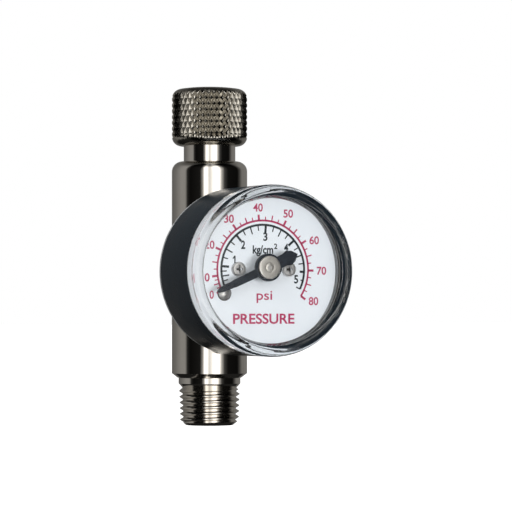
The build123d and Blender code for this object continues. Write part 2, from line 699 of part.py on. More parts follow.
def dial():
    """The dial plate with its centre, screw and stud holes."""
    plate = rod(DIAL_R, DIAL_BACK, DIAL_FRONT)
    plate -= Pos(0, PINION_Y, 0) * rod(DIAL_HOLE_R, DIAL_BACK, DIAL_FRONT)
    for side in (-1, 1):
        plate -= Pos(side * DIAL_SCREW_X, DIAL_SCREW_Y, 0) * rod(DIAL_SCREW_R, DIAL_BACK, DIAL_FRONT)
    return plate - Pos(*STUD_PLACE, 0) * rod(DIAL_SCREW_R, DIAL_BACK, DIAL_FRONT)


def dial_screws():
    """Two domed cross-recess screws."""
    screw = rod(DIAL_SCREW_R, DIAL_BACK - DIAL_SCREW_TIP, DIAL_FRONT)
    head = rod(DIAL_SCREW_HEAD_R, DIAL_FRONT, DIAL_FRONT + DIAL_SCREW_HEAD)
    head = fillet(head.edges().filter_by(GeomType.CIRCLE).sort_by(Axis.Z)[-1], DIAL_SCREW_HEAD - 0.1)
    reach, half = DIAL_SCREW_CROSS
    recess = bar(-reach, reach, -half, half, DIAL_FRONT, DIAL_FRONT + DIAL_SCREW_HEAD)
    screw += head - recess - Rot(0, 0, 90) * recess
    return Pos(-DIAL_SCREW_X, DIAL_SCREW_Y, 0) * screw + Pos(DIAL_SCREW_X, DIAL_SCREW_Y, 0) * screw


def dial_stud():
    """A domed stud that marks the zero end of the scale."""
    sunk = math.sqrt(STUD_DOME_R**2 - STUD_R**2)
    dome = Pos(0, 0, DIAL_FRONT - sunk) * Sphere(STUD_DOME_R)
    dome &= rod(STUD_R, DIAL_FRONT, DIAL_FRONT + STUD_DOME_R)
    stem = rod(DIAL_SCREW_R, DIAL_BACK - 0.4, DIAL_FRONT)
    return Pos(*STUD_PLACE, 0) * (dome + stem)


def pointer():
    """The flat hand with its boss and its broad counterweight."""
    half_outline = POINTER_BLADE + POINTER_TAIL
    outline = half_outline + tuple((x, -y) for x, y in reversed(half_outline[1:-1]))
    hand = extrude(make_face(Polyline(*outline, close=True)), POINTER_HIGH - POINTER_LOW)
    hand = Pos(0, 0, POINTER_LOW) * hand
    hand += rod(POINTER_BOSS_R, POINTER_BOSS_LOW, POINTER_HIGH)
    hand -= rod(ARBOR_R, POINTER_BOSS_LOW, POINTER_HIGH)
    return Pos(0, PINION_Y, 0) * Rot(0, 0, POINTER_REST_ANGLE) * hand


def pointer_hub():
    """The turned cap over the middle of the hand, with the staff's end showing in it."""
    cap = rod(HUB_R, POINTER_HIGH, HUB_HIGH)
    cap = chamfer(cap.edges().filter_by(GeomType.CIRCLE).sort_by(Axis.Z)[-1], HUB_CHAMFER)
    return Pos(0, PINION_Y, 0) * (cap - rod(ARBOR_R, POINTER_HIGH, HUB_HIGH))


def lens():
    """The clear cap: a window, a raised rim, and a skirt that plugs into the case."""
    return turned(
        (0, WINDOW_BACK),
        (LENS_SKIRT_IN - WINDOW_CORNER, WINDOW_BACK),
        (LENS_SKIRT_IN, WINDOW_BACK - WINDOW_CORNER),
        (LENS_SKIRT_IN, LENS_SKIRT_BACK),
        (LENS_SKIRT_OUT, LENS_SKIRT_BACK),
        (LENS_SKIRT_OUT, CASE_FRONT),
        (CASE_R, CASE_FRONT),
        (CASE_R, LENS_SHOULDER),
        *LENS_CORNER,
        (WINDOW_R, WINDOW_FRONT),
        (0, WINDOW_FRONT),
    )


REGULATOR_NODES = {
    "regulator_body": regulator_body(),
    "inlet_filter": rod(FILTER_BORE_R - 0.03, FILTER_LOW, FILTER_BORE_TOP),
    "filter_circlip": filter_circlip(),
    "valve_spring": coil(*VALVE_SPRING, VALVE_CHAMBER_LOW, HEAD_LOW),
    "valve_poppet": valve_poppet(),
    "poppet_seal": ring(STEM_R, SEAL_R, HEAD_HIGH, SEAL_HIGH),
    "valve_seat": valve_seat(),
    "seat_o_ring": round_seal(SEAT_RING_MAJOR, SEAT_RING_MINOR, SEAT_RING_HEIGHT),
    "piston": piston(),
    "piston_o_ring": round_seal(PISTON_RING_MAJOR, PISTON_RING_MINOR, PISTON_RING_HEIGHT),
    "range_spring": coil(*RANGE_SPRING, PISTON_HIGH, BUTTON_LOW),
    "spring_button": spring_button(),
    "thrust_ball": Pos(0, 0, BALL_HEIGHT) * Sphere(BALL_R),
    "adjusting_screw": adjusting_screw(),
    "adjusting_knob": adjusting_knob(),
    "knob_screw": knob_screw(),
}

GAUGE_NODES = {
    "port_washer": ring(PORT_R + 0.05, WASHER_R, PORT_FACE, SOCKET_SHOULDER),
    "gauge_socket": gauge_socket(),
    "gauge_case": gauge_case(),
    "case_screws": case_screws(),
    "bourdon_tube": bourdon_tube(),
    "tube_tip": tube_tip(),
    "movement_plate_lower": movement_plate_lower(),
    "movement_plate_upper": movement_plate_upper(),
    "movement_pillars": movement_pillars(),
    "block_screws": small_screws(BLOCK_SCREWS, BLOCK_FRONT - 1.8, PLATE_LOW[1], BLOCK_SCREW_HEAD),
    "plate_screws": small_screws(PILLARS, PLATE_HIGH[0] - 1.2, PLATE_HIGH[1], MOVEMENT_SCREW_HEAD),
    "link": link(),
    "sector_gear": sector_gear(),
    "sector_arbor": sector_arbor(),
    "pinion": pinion(),
    "hairspring": hairspring(),
    "hairspring_stud": hairspring_stud(),
    "dial_posts": dial_posts(),
    "dial": dial(),
    "dial_screws": dial_screws(),
    "dial_stud": dial_stud(),
    "pointer": pointer(),
    "pointer_hub": pointer_hub(),
    "lens": lens(),
}

os.makedirs("parts", exist_ok=True)
for name, shape in REGULATOR_NODES.items():
    export_step(shape, f"parts/{name}.step")
for name, shape in GAUGE_NODES.items():
    export_step(GAUGE * shape, f"parts/{name}.step")
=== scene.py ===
import json
import math

import bpy
from mathutils import Matrix, Vector

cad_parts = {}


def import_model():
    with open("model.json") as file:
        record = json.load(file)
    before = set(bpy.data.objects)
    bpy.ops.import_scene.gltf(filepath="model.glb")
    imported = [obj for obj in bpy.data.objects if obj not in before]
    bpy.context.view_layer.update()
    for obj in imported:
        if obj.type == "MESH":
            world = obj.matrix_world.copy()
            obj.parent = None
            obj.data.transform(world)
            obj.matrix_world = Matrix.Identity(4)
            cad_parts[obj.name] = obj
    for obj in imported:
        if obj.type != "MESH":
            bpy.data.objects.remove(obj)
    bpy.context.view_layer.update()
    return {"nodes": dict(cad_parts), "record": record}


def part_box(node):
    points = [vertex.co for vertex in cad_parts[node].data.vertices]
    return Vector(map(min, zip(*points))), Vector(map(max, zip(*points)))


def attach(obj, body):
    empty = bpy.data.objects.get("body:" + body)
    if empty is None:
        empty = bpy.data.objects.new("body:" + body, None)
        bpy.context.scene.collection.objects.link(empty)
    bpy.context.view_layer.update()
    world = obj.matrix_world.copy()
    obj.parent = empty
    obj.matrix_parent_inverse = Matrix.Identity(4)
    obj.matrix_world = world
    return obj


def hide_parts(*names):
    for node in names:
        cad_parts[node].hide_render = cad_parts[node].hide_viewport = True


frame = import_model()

MM = 0.001

# ---------------------------------------------------------------- places taken from the frame

KNOB_LOW, KNOB_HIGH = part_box("adjusting_knob")
CASE_LOW, CASE_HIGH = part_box("gauge_case")
LENS_LOW, LENS_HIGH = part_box("lens")
HUB_LOW, HUB_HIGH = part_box("pointer_hub")
GAUGE_Z = (CASE_LOW.z + CASE_HIGH.z) / 2
HUB_RISE = (HUB_LOW.z + HUB_HIGH.z) / 2 - GAUGE_Z
DIAL_FRONT = -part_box("dial")[0].y
CASE_FRONT = -CASE_LOW.y
CASE_BACK = -CASE_HIGH.y
CASE_R = CASE_HIGH.x
LENS_FRONT = -LENS_LOW.y
LENS_BACK = -LENS_HIGH.y
HUB_BACK = -HUB_HIGH.y
HUB_FRONT = -HUB_LOW.y
HUB_R = HUB_HIGH.x
KNOB_R = KNOB_HIGH.x
NECK_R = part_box("adjusting_screw")[1].x
SCREW_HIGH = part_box("knob_screw")[1]

# Dial coordinates: x to the reader's right, y up, z out of the dial.
GAUGE = Matrix(((1, 0, 0, 0), (0, 0, -1, 0), (0, 1, 0, GAUGE_Z), (0, 0, 0, 1)))
STAFF = GAUGE @ Matrix.Translation((0, HUB_RISE, 0))


# ---------------------------------------------------------------- node helpers


def new_material(name):
    """A material with only its Principled shader and output; returns (material, tree, shader)."""
    material = bpy.data.materials.new(name)
    material.use_nodes = True
    tree = material.node_tree
    return material, tree, tree.nodes["Principled BSDF"]


def add(tree, kind, inputs=None, **settings):
    """One node with its settings and socket values; a value may be another node's output."""
    node = tree.nodes.new(kind)
    for key, value in settings.items():
        setattr(node, key, value)
    for key, value in (inputs or {}).items():
        if isinstance(value, bpy.types.NodeSocket):
            tree.links.new(value, node.inputs[key])
        else:
            node.inputs[key].default_value = value
    return node


def object_place(tree, scale=(1, 1, 1)):
    """Object coordinates, scaled, as the texture space of the piece."""
    place = add(tree, "ShaderNodeTexCoord")
    return add(tree, "ShaderNodeMapping", {"Vector": place.outputs["Object"], "Scale": scale}).outputs[0]


def noise(tree, place, scale, detail=4.0, roughness=0.5):
    """Cloudy noise; the scale is in cells to the metre."""
    inputs = {"Vector": place, "Scale": scale, "Detail": detail, "Roughness": roughness}
    return add(tree, "ShaderNodeTexNoise", inputs).outputs["Fac"]


def ramp(tree, value, low, high, low_out, high_out):
    """A value mapped from one range to another and held at its ends."""
    inputs = {"Value": value, 1: low, 2: high, 3: low_out, 4: high_out}
    return add(tree, "ShaderNodeMapRange", inputs).outputs[0]


NOISE_LOW = 0.3
NOISE_HIGH = 0.7


def spread(tree, value, low_out=0, high_out=1):
    """A noise value, which stays mostly near its middle, spread over a whole range."""
    return ramp(tree, value, NOISE_LOW, NOISE_HIGH, low_out, high_out)


MIX_SHARE, MIX_FIRST, MIX_SECOND, MIX_RESULT = 0, 6, 7, 2      # sockets of a colour mix


def blend_colours(tree, share, first, second):
    """A mix from the first colour to the second; the first may be another node's output."""
    if not isinstance(first, bpy.types.NodeSocket):
        first = (*first, 1)
    inputs = {MIX_SHARE: share, MIX_FIRST: first, MIX_SECOND: (*second, 1)}
    return add(tree, "ShaderNodeMix", inputs, data_type="RGBA").outputs[MIX_RESULT]


def multiply(tree, first, second):
    """The product of two values."""
    return add(tree, "ShaderNodeMath", {0: first, 1: second}, operation="MULTIPLY").outputs[0]


FINE_DEPTH = 0.02 * MM


def bump(tree, shader, height, strength, depth=FINE_DEPTH):
    """Surface relief from a height value."""
    inputs = {"Height": height, "Strength": strength, "Distance": depth}
    node = add(tree, "ShaderNodeBump", inputs)
    tree.links.new(node.outputs[0], shader.inputs["Normal"])


# ---------------------------------------------------------------- materials


SMOOTHEST = 0.75       # shares of a metal's mean roughness
ROUGHEST = 1.4


def turned_metal(name, light, dark, roughness, lines_along, line_bump=0.02):
    """Machined metal: fine turning lines round one axis, smudges, and a varied roughness."""
    material, tree, shader = new_material(name)
    shader.inputs["Metallic"].default_value = 1.0
    place = object_place(tree, lines_along)
    lines = noise(tree, place, scale=1.0, detail=3.0, roughness=0.6)
    plain = object_place(tree)
    smudge = noise(tree, plain, scale=260.0, detail=5.0, roughness=0.6)
    colour = blend_colours(tree, ramp(tree, smudge, 0.35, 0.65, 0, 1), light, dark)
    tree.links.new(colour, shader.inputs["Base Color"])
    mixed = multiply(tree, lines, smudge)
    rough = ramp(tree, mixed, 0.1, 0.45, roughness * SMOOTHEST, roughness * ROUGHEST)
    tree.links.new(rough, shader.inputs["Roughness"])
    bump(tree, shader, lines, line_bump)
    return material


# Noise scales that draw fine lines round the Z or the Y axis.
ALONG_Z = (30, 30, 9000)
ALONG_Y = (30, 9000, 30)


def nickel():
    """Bright plating on the turned body."""
    return turned_metal("nickel_plate", (0.83, 0.80, 0.76), (0.78, 0.75, 0.70), 0.075, ALONG_Z)


GROOVE_POINTINESS = 0.46
CREST_POINTINESS = 0.54
# Share of the crest colour that the painted shade keeps at the bottom of a groove.
GROOVE_SHADE_LIFT = 0.1


def knurled_nickel():
    """Plated knurling with painted shade: the colour darkens down in the grooves, where pointiness is low,
    and is plain nickel on the crests; a noise mottles it.
    """
    material, tree, shader = new_material("knurled_nickel")
    shader.inputs["Metallic"].default_value = 1.0
    geometry = add(tree, "ShaderNodeNewGeometry")
    pointiness = ramp(tree, geometry.outputs["Pointiness"], GROOVE_POINTINESS, CREST_POINTINESS, 0, 1)
    plain = object_place(tree)
    grime_and_shade = noise(tree, plain, scale=900.0, detail=4.0)
    inputs = {0: pointiness, 1: grime_and_shade, 2: GROOVE_SHADE_LIFT}
    share = add(tree, "ShaderNodeMath", inputs, operation="MULTIPLY_ADD").outputs[0]
    # Painted shade: the dark colour goes into the grooves, the light one onto the crests.
    colour = blend_colours(tree, share, (0.22, 0.205, 0.175), (0.84, 0.81, 0.74))
    tree.links.new(colour, shader.inputs["Base Color"])
    tree.links.new(spread(tree, grime_and_shade, 0.12, 0.26), shader.inputs["Roughness"])
    bump(tree, shader, grime_and_shade, 0.05)
    return material


def brass():
    """Machined brass with turning lines round the gauge's axis."""
    return turned_metal("brass", (0.83, 0.66, 0.32), (0.72, 0.53, 0.23), 0.2, ALONG_Y, 0.05)


# Painted shade where the steel meets the dial: the band's height off the dial's face, how far it darkens,
# and its dark colour.
DIAL_SHADE_HEIGHT = 0.13 * MM
DIAL_SHADE_STRENGTH = 0.9
DIAL_SHADE_COLOUR = (0.03, 0.03, 0.03)


def bright_steel():
    """Zinc-plated steel with painted shade: near-black where its pieces meet the dial's face and down in
    the recesses of its screws.
    """
    material = turned_metal("bright_steel", (0.88, 0.87, 0.85), (0.76, 0.75, 0.74), 0.4, ALONG_Y, 0.04)
    tree = material.node_tree
    shader = tree.nodes["Principled BSDF"]
    plain = shader.inputs["Base Color"].links[0].from_socket
    depth = add(tree, "ShaderNodeTexCoord").outputs["Object"]
    depth = add(tree, "ShaderNodeSeparateXYZ", {0: depth}).outputs["Y"]
    # Painted shade: the colour goes near-black within the band over the dial's face.
    at_dial = {0: depth, 1: -DIAL_FRONT, 2: DIAL_SHADE_HEIGHT}
    grime_and_shade = add(tree, "ShaderNodeMath", at_dial, operation="COMPARE").outputs[0]
    shade = blend_colours(tree, multiply(tree, grime_and_shade, DIAL_SHADE_STRENGTH), plain, DIAL_SHADE_COLOUR)
    tree.links.new(shade, shader.inputs["Base Color"])
    return material


def spring_steel():
    """Drawn wire, darker than the plated steel."""
    return turned_metal("spring_steel", (0.55, 0.55, 0.56), (0.40, 0.40, 0.41), 0.28, ALONG_Z, 0.04)


def sintered_bronze():
    """Bronze grains with dark pores between them."""
    material, tree, shader = new_material("sintered_bronze")
    shader.inputs["Metallic"].default_value = 1.0
    place = object_place(tree)
    grains = add(tree, "ShaderNodeTexVoronoi", {"Vector": place, "Scale": 7000.0}).outputs["Distance"]
    colour = blend_colours(tree, ramp(tree, grains, 0.1, 0.6, 0, 1), (0.68, 0.46, 0.26), (0.22, 0.13, 0.07))
    tree.links.new(colour, shader.inputs["Base Color"])
    shader.inputs["Roughness"].default_value = 0.55
    bump(tree, shader, grains, 0.8, 0.06 * MM)
    return material


def moulded(name, light, dark, low_rough, high_rough, grain=3000.0, grain_bump=0.15):
    """Rubber or plastic: mottled colour, fine grain and a varied sheen."""
    material, tree, shader = new_material(name)
    place = object_place(tree)
    cloud = noise(tree, place, scale=300.0, detail=5.0)
    fine = noise(tree, place, scale=grain, detail=3.0)
    colour = blend_colours(tree, spread(tree, cloud), light, dark)
    tree.links.new(colour, shader.inputs["Base Color"])
    tree.links.new(spread(tree, fine, low_rough, high_rough), shader.inputs["Roughness"])
    bump(tree, shader, fine, grain_bump)
    return material


def rubber():
    """Matt black nitrile."""
    return moulded("rubber", (0.028, 0.028, 0.03), (0.05, 0.05, 0.05), 0.55, 0.8)


def seal_plastic():
    """Smooth off-white acetal."""
    return moulded("seal_plastic", (0.80, 0.79, 0.74), (0.72, 0.70, 0.65), 0.35, 0.5)


def fibre_washer():
    """Red-brown fibre with a coarse grain."""
    return moulded("fibre_washer", (0.34, 0.10, 0.06), (0.24, 0.07, 0.05), 0.6, 0.85, 5000.0, 0.4)


RIM_HIGHLIGHT_FADE = 0.34 * MM          # depth below the case's side where the painted highlight ends
RIM_HIGHLIGHT_FULL = 0.24 * MM
EDGE_HIGHLIGHT_FADE = 1.1 * MM          # distance from the case's back where the painted highlight ends
EDGE_HIGHLIGHT_FULL = 0.96 * MM
# Colour of the painted highlight on the case's back corner.
RIM_HIGHLIGHT_COLOUR = (0.52, 0.53, 0.54)


def worn_rim(tree):
    """A patchy mask over the case's back corner, where a light line is painted in as a highlight."""
    centred = add(tree, "ShaderNodeTexCoord").outputs["Object"]
    flat = {"Vector": centred, "Location": (0, 0, -GAUGE_Z), "Scale": (1, 0, 1)}
    across = add(tree, "ShaderNodeMapping", flat).outputs[0]
    radius = add(tree, "ShaderNodeVectorMath", {0: across}, operation="LENGTH").outputs["Value"]
    corner = ramp(tree, radius, CASE_R - RIM_HIGHLIGHT_FADE, CASE_R - RIM_HIGHLIGHT_FULL, 0, 1)
    depth = add(tree, "ShaderNodeSeparateXYZ", {0: centred}).outputs["Y"]
    edge = ramp(tree, depth, -CASE_BACK - EDGE_HIGHLIGHT_FADE, -CASE_BACK - EDGE_HIGHLIGHT_FULL, 0, 1)
    patchy = ramp(tree, noise(tree, centred, scale=700.0), 0.25, 0.6, 0.35, 1)
    return multiply(tree, multiply(tree, corner, edge), patchy)


def black_paint():
    """Stoved blue-black paint with a faint orange-peel surface and a painted highlight: a patchy light grey
    line along its back corner.
    """
    material, tree, shader = new_material("black_paint")
    place = object_place(tree)
    cloud = noise(tree, place, scale=400.0, detail=5.0)
    peel = noise(tree, place, scale=1800.0, detail=2.0)
    paint = blend_colours(tree, spread(tree, cloud), (0.012, 0.018, 0.025), (0.015, 0.023, 0.031))
    # Painted highlight: the back corner turns light grey under the mask.
    highlighted_paint = blend_colours(tree, worn_rim(tree), paint, RIM_HIGHLIGHT_COLOUR)
    tree.links.new(highlighted_paint, shader.inputs["Base Color"])
    tree.links.new(spread(tree, cloud, 0.24, 0.36), shader.inputs["Roughness"])
    shader.inputs["Specular IOR Level"].default_value = 0.15
    bump(tree, shader, peel, 0.10, 0.04 * MM)
    return material


def dial_white():
    """Baked white enamel: very slightly cool, with a faint mottle."""
    material, tree, shader = new_material("dial_white")
    place = object_place(tree)
    cloud = noise(tree, place, scale=180.0, detail=4.0)
    colour = blend_colours(tree, spread(tree, cloud), (0.79, 0.83, 0.875), (0.83, 0.87, 0.91))
    tree.links.new(colour, shader.inputs["Base Color"])
    fine = noise(tree, place, scale=2500.0, detail=3.0)
    tree.links.new(spread(tree, fine, 0.42, 0.55), shader.inputs["Roughness"])
    bump(tree, shader, fine, 0.04)
    return material


def printed(name, light, dark):
    """Screen-printed ink: slightly uneven cover over the enamel."""
    material, tree, shader = new_material(name)
    place = object_place(tree)
    cover = noise(tree, place, scale=2200.0, detail=4.0, roughness=0.7)
    colour = blend_colours(tree, ramp(tree, cover, 0.35, 0.7, 0, 1), light, dark)
    tree.links.new(colour, shader.inputs["Base Color"])
    tree.links.new(spread(tree, cover, 0.4, 0.6), shader.inputs["Roughness"])
    return material


def pointer_dark():
    """Dark blue-black lacquer on the hand."""
    material, tree, shader = new_material("pointer_dark")
    place = object_place(tree)
    cloud = noise(tree, place, scale=900.0, detail=4.0)
    colour = blend_colours(tree, spread(tree, cloud), (0.008, 0.012, 0.018), (0.015, 0.021, 0.030))
    tree.links.new(colour, shader.inputs["Base Color"])
    tree.links.new(spread(tree, cloud, 0.38, 0.5), shader.inputs["Roughness"])
    shader.inputs["Specular IOR Level"].default_value = 0.2
    bump(tree, shader, cloud, 0.05)
    return material


def hub_metal():
    """Satin turned metal with fine rings in its surface."""
    material, tree, shader = new_material("hub_metal")
    shader.inputs["Metallic"].default_value = 1.0
    place = object_place(tree)
    smudge = noise(tree, place, scale=900.0, detail=4.0)
    colour = blend_colours(tree, spread(tree, smudge), (0.90, 0.87, 0.82), (0.76, 0.73, 0.68))
    tree.links.new(colour, shader.inputs["Base Color"])
    tree.links.new(spread(tree, smudge, 0.28, 0.42), shader.inputs["Roughness"])
    inputs = {"Vector": place, "Scale": 4000.0, "Distortion": 0.5}
    rings = add(tree, "ShaderNodeTexWave", inputs, wave_type="RINGS", rings_direction="Z")
    bump(tree, shader, rings.outputs["Fac"], 0.06, 0.01 * MM)
    return material


def lens_clear():
    """Clear moulded plastic that lets lamps through, with faint wiping marks."""
    material, tree, shader = new_material("lens_clear")
    shader.inputs["Base Color"].default_value = (0.965, 0.975, 0.985, 1)
    shader.inputs["Transmission Weight"].default_value = 1.0
    shader.inputs["IOR"].default_value = 1.49
    place = object_place(tree)
    wipe = noise(tree, place, scale=500.0, detail=5.0)
    tree.links.new(ramp(tree, wipe, 0.35, 0.75, 0.0, 0.03), shader.inputs["Roughness"])
    path = add(tree, "ShaderNodeLightPath")
    clear = add(tree, "ShaderNodeBsdfTransparent", {"Color": (0.93, 0.94, 0.95, 1)})
    mix = add(tree, "ShaderNodeMixShader", {0: path.outputs["Is Shadow Ray"], 1: shader.outputs[0]})
    tree.links.new(clear.outputs[0], mix.inputs[2])
    tree.links.new(mix.outputs[0], tree.nodes["Material Output"].inputs["Surface"])
    return material


MATERIALS = {
    "nickel_plate": nickel(),
    "knurled_nickel": knurled_nickel(),
    "brass": brass(),
    "bright_steel": bright_steel(),
    "spring_steel": spring_steel(),
    "sintered_bronze": sintered_bronze(),
    "rubber": rubber(),
    "seal_plastic": seal_plastic(),
    "fibre_washer": fibre_washer(),
    "black_paint": black_paint(),
    "dial_white": dial_white(),
    "pointer_dark": pointer_dark(),
    "hub_metal": hub_metal(),
    "lens_clear": lens_clear(),
    "print_red": printed("print_red", (0.40, 0.018, 0.085), (0.50, 0.045, 0.14)),
    "print_black": printed("print_black", (0.005, 0.011, 0.017), (0.013, 0.025, 0.033)),
}


# ---------------------------------------------------------------- mesh helpers


def make_piece(name, points, faces, material, body, sharp=35):
    """A mesh piece that rides on a CAD body, smooth except at its sharp edges."""
    mesh = bpy.data.meshes.new(name)
    mesh.from_pydata([tuple(p) for p in points], [], faces)
    mesh.materials.append(MATERIALS[material])
    mesh.update()
    mesh.shade_smooth()
    mesh.set_sharp_from_angle(angle=math.radians(sharp))
    piece = bpy.data.objects.new(name, mesh)
    bpy.context.scene.collection.objects.link(piece)
    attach(piece, body)
    return piece


def rounded(outline, steps=6):
    """(radius, height, corner radius) points with each corner turned into an arc."""
    path = []
    count = len(outline)
    for number, (r, h, corner) in enumerate(outline):
        here = Vector((r, h))
        if corner <= 0 or number in (0, count - 1):
            path.append(here)
            continue
        to_last = (Vector(outline[number - 1][:2]) - here).normalized()
        to_next = (Vector(outline[number + 1][:2]) - here).normalized()
        half = to_last.angle(to_next) / 2
        reach = corner / math.tan(half)
        centre = here + (to_last + to_next).normalized() * (corner / math.sin(half))
        start = here + to_last * reach - centre
        turn = (here + to_next * reach - centre).angle_signed(start)
        for step in range(steps + 1):
            path.append(centre + Matrix.Rotation(turn * step / steps, 2) @ start)
    return path


ON_AXIS = 1e-7


def band(low, high, segments):
    """Faces between two rings of point numbers; a ring of one point is the tip of a fan."""
    faces = []
    if len(low) == 1 and len(high) == 1:
        return faces
    for step in range(segments):
        after = (step + 1) % segments
        if len(low) == 1:
            faces.append((low[0], high[after], high[step]))
        elif len(high) == 1:
            faces.append((low[step], low[after], high[0]))
        else:
            faces.append((low[step], low[after], high[after], high[step]))
    return faces


def lathe(name, outline, place, material, body, segments=160, closed=False, sharp=35):
    """A piece turned about the local Z axis of place from a (radius, height) outline."""
    points = []
    rings = []
    for p in outline:
        if p.x < ON_AXIS:
            rings.append([len(points)])
            points.append(place @ Vector((0, 0, p.y)))
            continue
        rings.append(list(range(len(points), len(points) + segments)))
        for step in range(segments):
            angle = 2 * math.pi * step / segments
            points.append(place @ Vector((p.x * math.cos(angle), p.x * math.sin(angle), p.y)))
    faces = []
    after = rings[1:] + rings[:1] if closed else rings[1:]
    for low, high in zip(rings, after):
        faces += band(low, high, segments)
    return make_piece(name, points, faces, material, body, sharp)


# ---------------------------------------------------------------- knob

KNURLS_ROUND = 40
KNURL_HEIGHT = 1.85 * MM
KNURL_DEPTH = 0.35 * MM
KNURL_RISE = 0.95 * MM
KNURL_FLAT = 5 / 6
KNURL_STEPS = 12
KNURL_TOP_GAP = 0.35 * MM
EDGE_STEPS = 8
KNOB_EDGE = 1.5 * MM
KNOB_DOME = 0.2 * MM
LATTICE_COLUMNS = KNURLS_ROUND * KNURL_STEPS
RUN_IN_ROWS = 4
DOME_STEPS = 6
RECESS_GAP = 0.2 * MM
RECESS_CHAMFER = 0.12 * MM
RECESS_CHAMFER_DROP = 0.1 * MM
RECESS_DEPTH = 0.9 * MM
RECESS_FLOOR_R = 0.9 * MM
FOOT_STEP = 0.1 * MM
NECK_GAP = 0.02 * MM
NECK_HOLE_DEPTH = 1 * MM
KNOB_SHARP = 28


def knob_profile(z):
    """The knob's plain radius at one height: straight sides between two rounded edges."""
    low = KNOB_LOW.z + KNOB_EDGE
    high = KNOB_HIGH.z - KNOB_DOME - KNOB_EDGE
    over = max(low - z, z - high, 0.0)
    over = min(over, KNOB_EDGE)
    return KNOB_R - KNOB_EDGE + math.sqrt(max(KNOB_EDGE ** 2 - over ** 2, 0.0))


def knurl_drop(column, row):
    """How far the crossing grooves cut below the crests at one lattice point."""
    rising = ((column + row) % KNURL_STEPS) / KNURL_STEPS
    falling = ((column - row) % KNURL_STEPS) / KNURL_STEPS
    height = min(1 - abs(2 * rising - 1), 1 - abs(2 * falling - 1))
    return KNURL_DEPTH * (1 - min(height / KNURL_FLAT, 1.0))


def knob_rings():
    """Heights of the knob's rings, each with its row of the groove lattice or None."""
    row_height = KNURL_HEIGHT / KNURL_STEPS
    first = KNOB_LOW.z + KNURL_RISE
    top = KNOB_HIGH.z - KNOB_DOME
    rows = int((top - KNURL_TOP_GAP - first) / row_height)
    rings = []
    for step in range(EDGE_STEPS):
        angle = math.pi / 2 * step / EDGE_STEPS
        rings.append((KNOB_LOW.z + KNURL_RISE * (1 - math.cos(angle)), None))
    rings += [(first + row * row_height, row) for row in range(rows + 1)]
    last = rings[-1][0]
    for step in range(1, EDGE_STEPS + 1):
        rings.append((last + (top - last) * math.sin(math.pi / 2 * step / EDGE_STEPS), None))
    return rings


def knob_points(rings):
    """The points of every ring; the grooves deepen over the first rows of the lattice."""
    points = []
    for z, row in rings:
        plain = knob_profile(z)
        for column in range(LATTICE_COLUMNS):
            radius = plain
            if row is not None:
                run_in = min(1.0, row / RUN_IN_ROWS)
                radius = min(plain, KNOB_R - knurl_drop(column, row) * run_in)
            angle = 2 * math.pi * column / LATTICE_COLUMNS
            points.append((radius * math.cos(angle), radius * math.sin(angle), z))
    return points


def knob_faces(rings):
    """Squares between the rings, split along the grooves where a groove crosses them."""
    faces = []
    for ring in range(len(rings) - 1):
        row = rings[ring][1]
        for column in range(LATTICE_COLUMNS):
            after = (column + 1) % LATTICE_COLUMNS
            a, b = ring * LATTICE_COLUMNS + column, ring * LATTICE_COLUMNS + after
            c, d = b + LATTICE_COLUMNS, a + LATTICE_COLUMNS
            if row is not None and (column + row + 1) % KNURL_STEPS == 0:
                faces += [(a, b, d), (b, c, d)]
            elif row is not None and (column - row) % KNURL_STEPS == 0:
                faces += [(a, b, c), (a, c, d)]
            else:
                faces.append((a, b, c, d))
    return faces


def close_ring(points, faces, first, circles, upwards):
    """Adds plain circles of (radius, height) inside one end of the knob."""
    start = first
    for radius, z in circles:
        base = len(points)
        for column in range(LATTICE_COLUMNS):
            angle = 2 * math.pi * column / LATTICE_COLUMNS
            points.append((radius * math.cos(angle), radius * math.sin(angle), z))
        for column in range(LATTICE_COLUMNS):
            after = (column + 1) % LATTICE_COLUMNS
            quad = (start + column, start + after, base + after, base + column)
            faces.append(quad if upwards else quad[::-1])
        start = base


def knob_top(flat_r):
    """Circles over the shallow dome and down into the recess of the knob's screw."""
    recess_r = SCREW_HIGH.x + RECESS_GAP
    recess_z = SCREW_HIGH.z - RECESS_DEPTH
    circles = []
    for step in range(1, DOME_STEPS + 1):
        share = step / DOME_STEPS
        radius = flat_r + (recess_r + RECESS_CHAMFER - flat_r) * share
        circles.append((radius, KNOB_HIGH.z - KNOB_DOME * (1 - share) ** 2))
    circles.append((recess_r, KNOB_HIGH.z - RECESS_CHAMFER_DROP))
    circles.append((recess_r, recess_z))
    circles.append((RECESS_FLOOR_R, recess_z))
    return circles


def knob_foot(flat_r):
    """Circles across the knob's lower end and up round its neck."""
    neck_r = NECK_R + NECK_GAP
    return [(flat_r - FOOT_STEP, KNOB_LOW.z), (neck_r, KNOB_LOW.z), (neck_r, KNOB_LOW.z + NECK_HOLE_DEPTH)]


def knob():
    """The knurled cap with its crossing grooves cut as real relief."""
    rings = knob_rings()
    points = knob_points(rings)
    faces = knob_faces(rings)
    flat_r = KNOB_R - KNOB_EDGE
    close_ring(points, faces, (len(rings) - 1) * LATTICE_COLUMNS, knob_top(flat_r), True)
    close_ring(points, faces, 0, knob_foot(flat_r), False)
    material = "knurled_nickel"
    piece = make_piece("knurled_knob", points, faces, material, "knob", KNOB_SHARP)
    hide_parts("adjusting_knob")


# ---------------------------------------------------------------- gauge

# Insets are measured inwards from the case's outer radius.
CASE_HOLE_R = 4.0 * MM
CASE_WALL = 0.6 * MM
CASE_HOLE_CORNER = 0.08 * MM
CASE_LIP_CORNER = 0.1 * MM
CASE_EDGE_CORNER = 0.62 * MM
CASE_INSIDE_CORNER = 0.3 * MM
GROOVE_START_INSET = 1.9 * MM
GROOVE_FLOOR_INSET = 1.55 * MM
GROOVE_END_INSET = 0.95 * MM
GROOVE_DEPTH = 0.18 * MM
GROOVE_INNER_CORNER = 0.3 * MM
GROOVE_OUTER_CORNER = 0.12 * MM


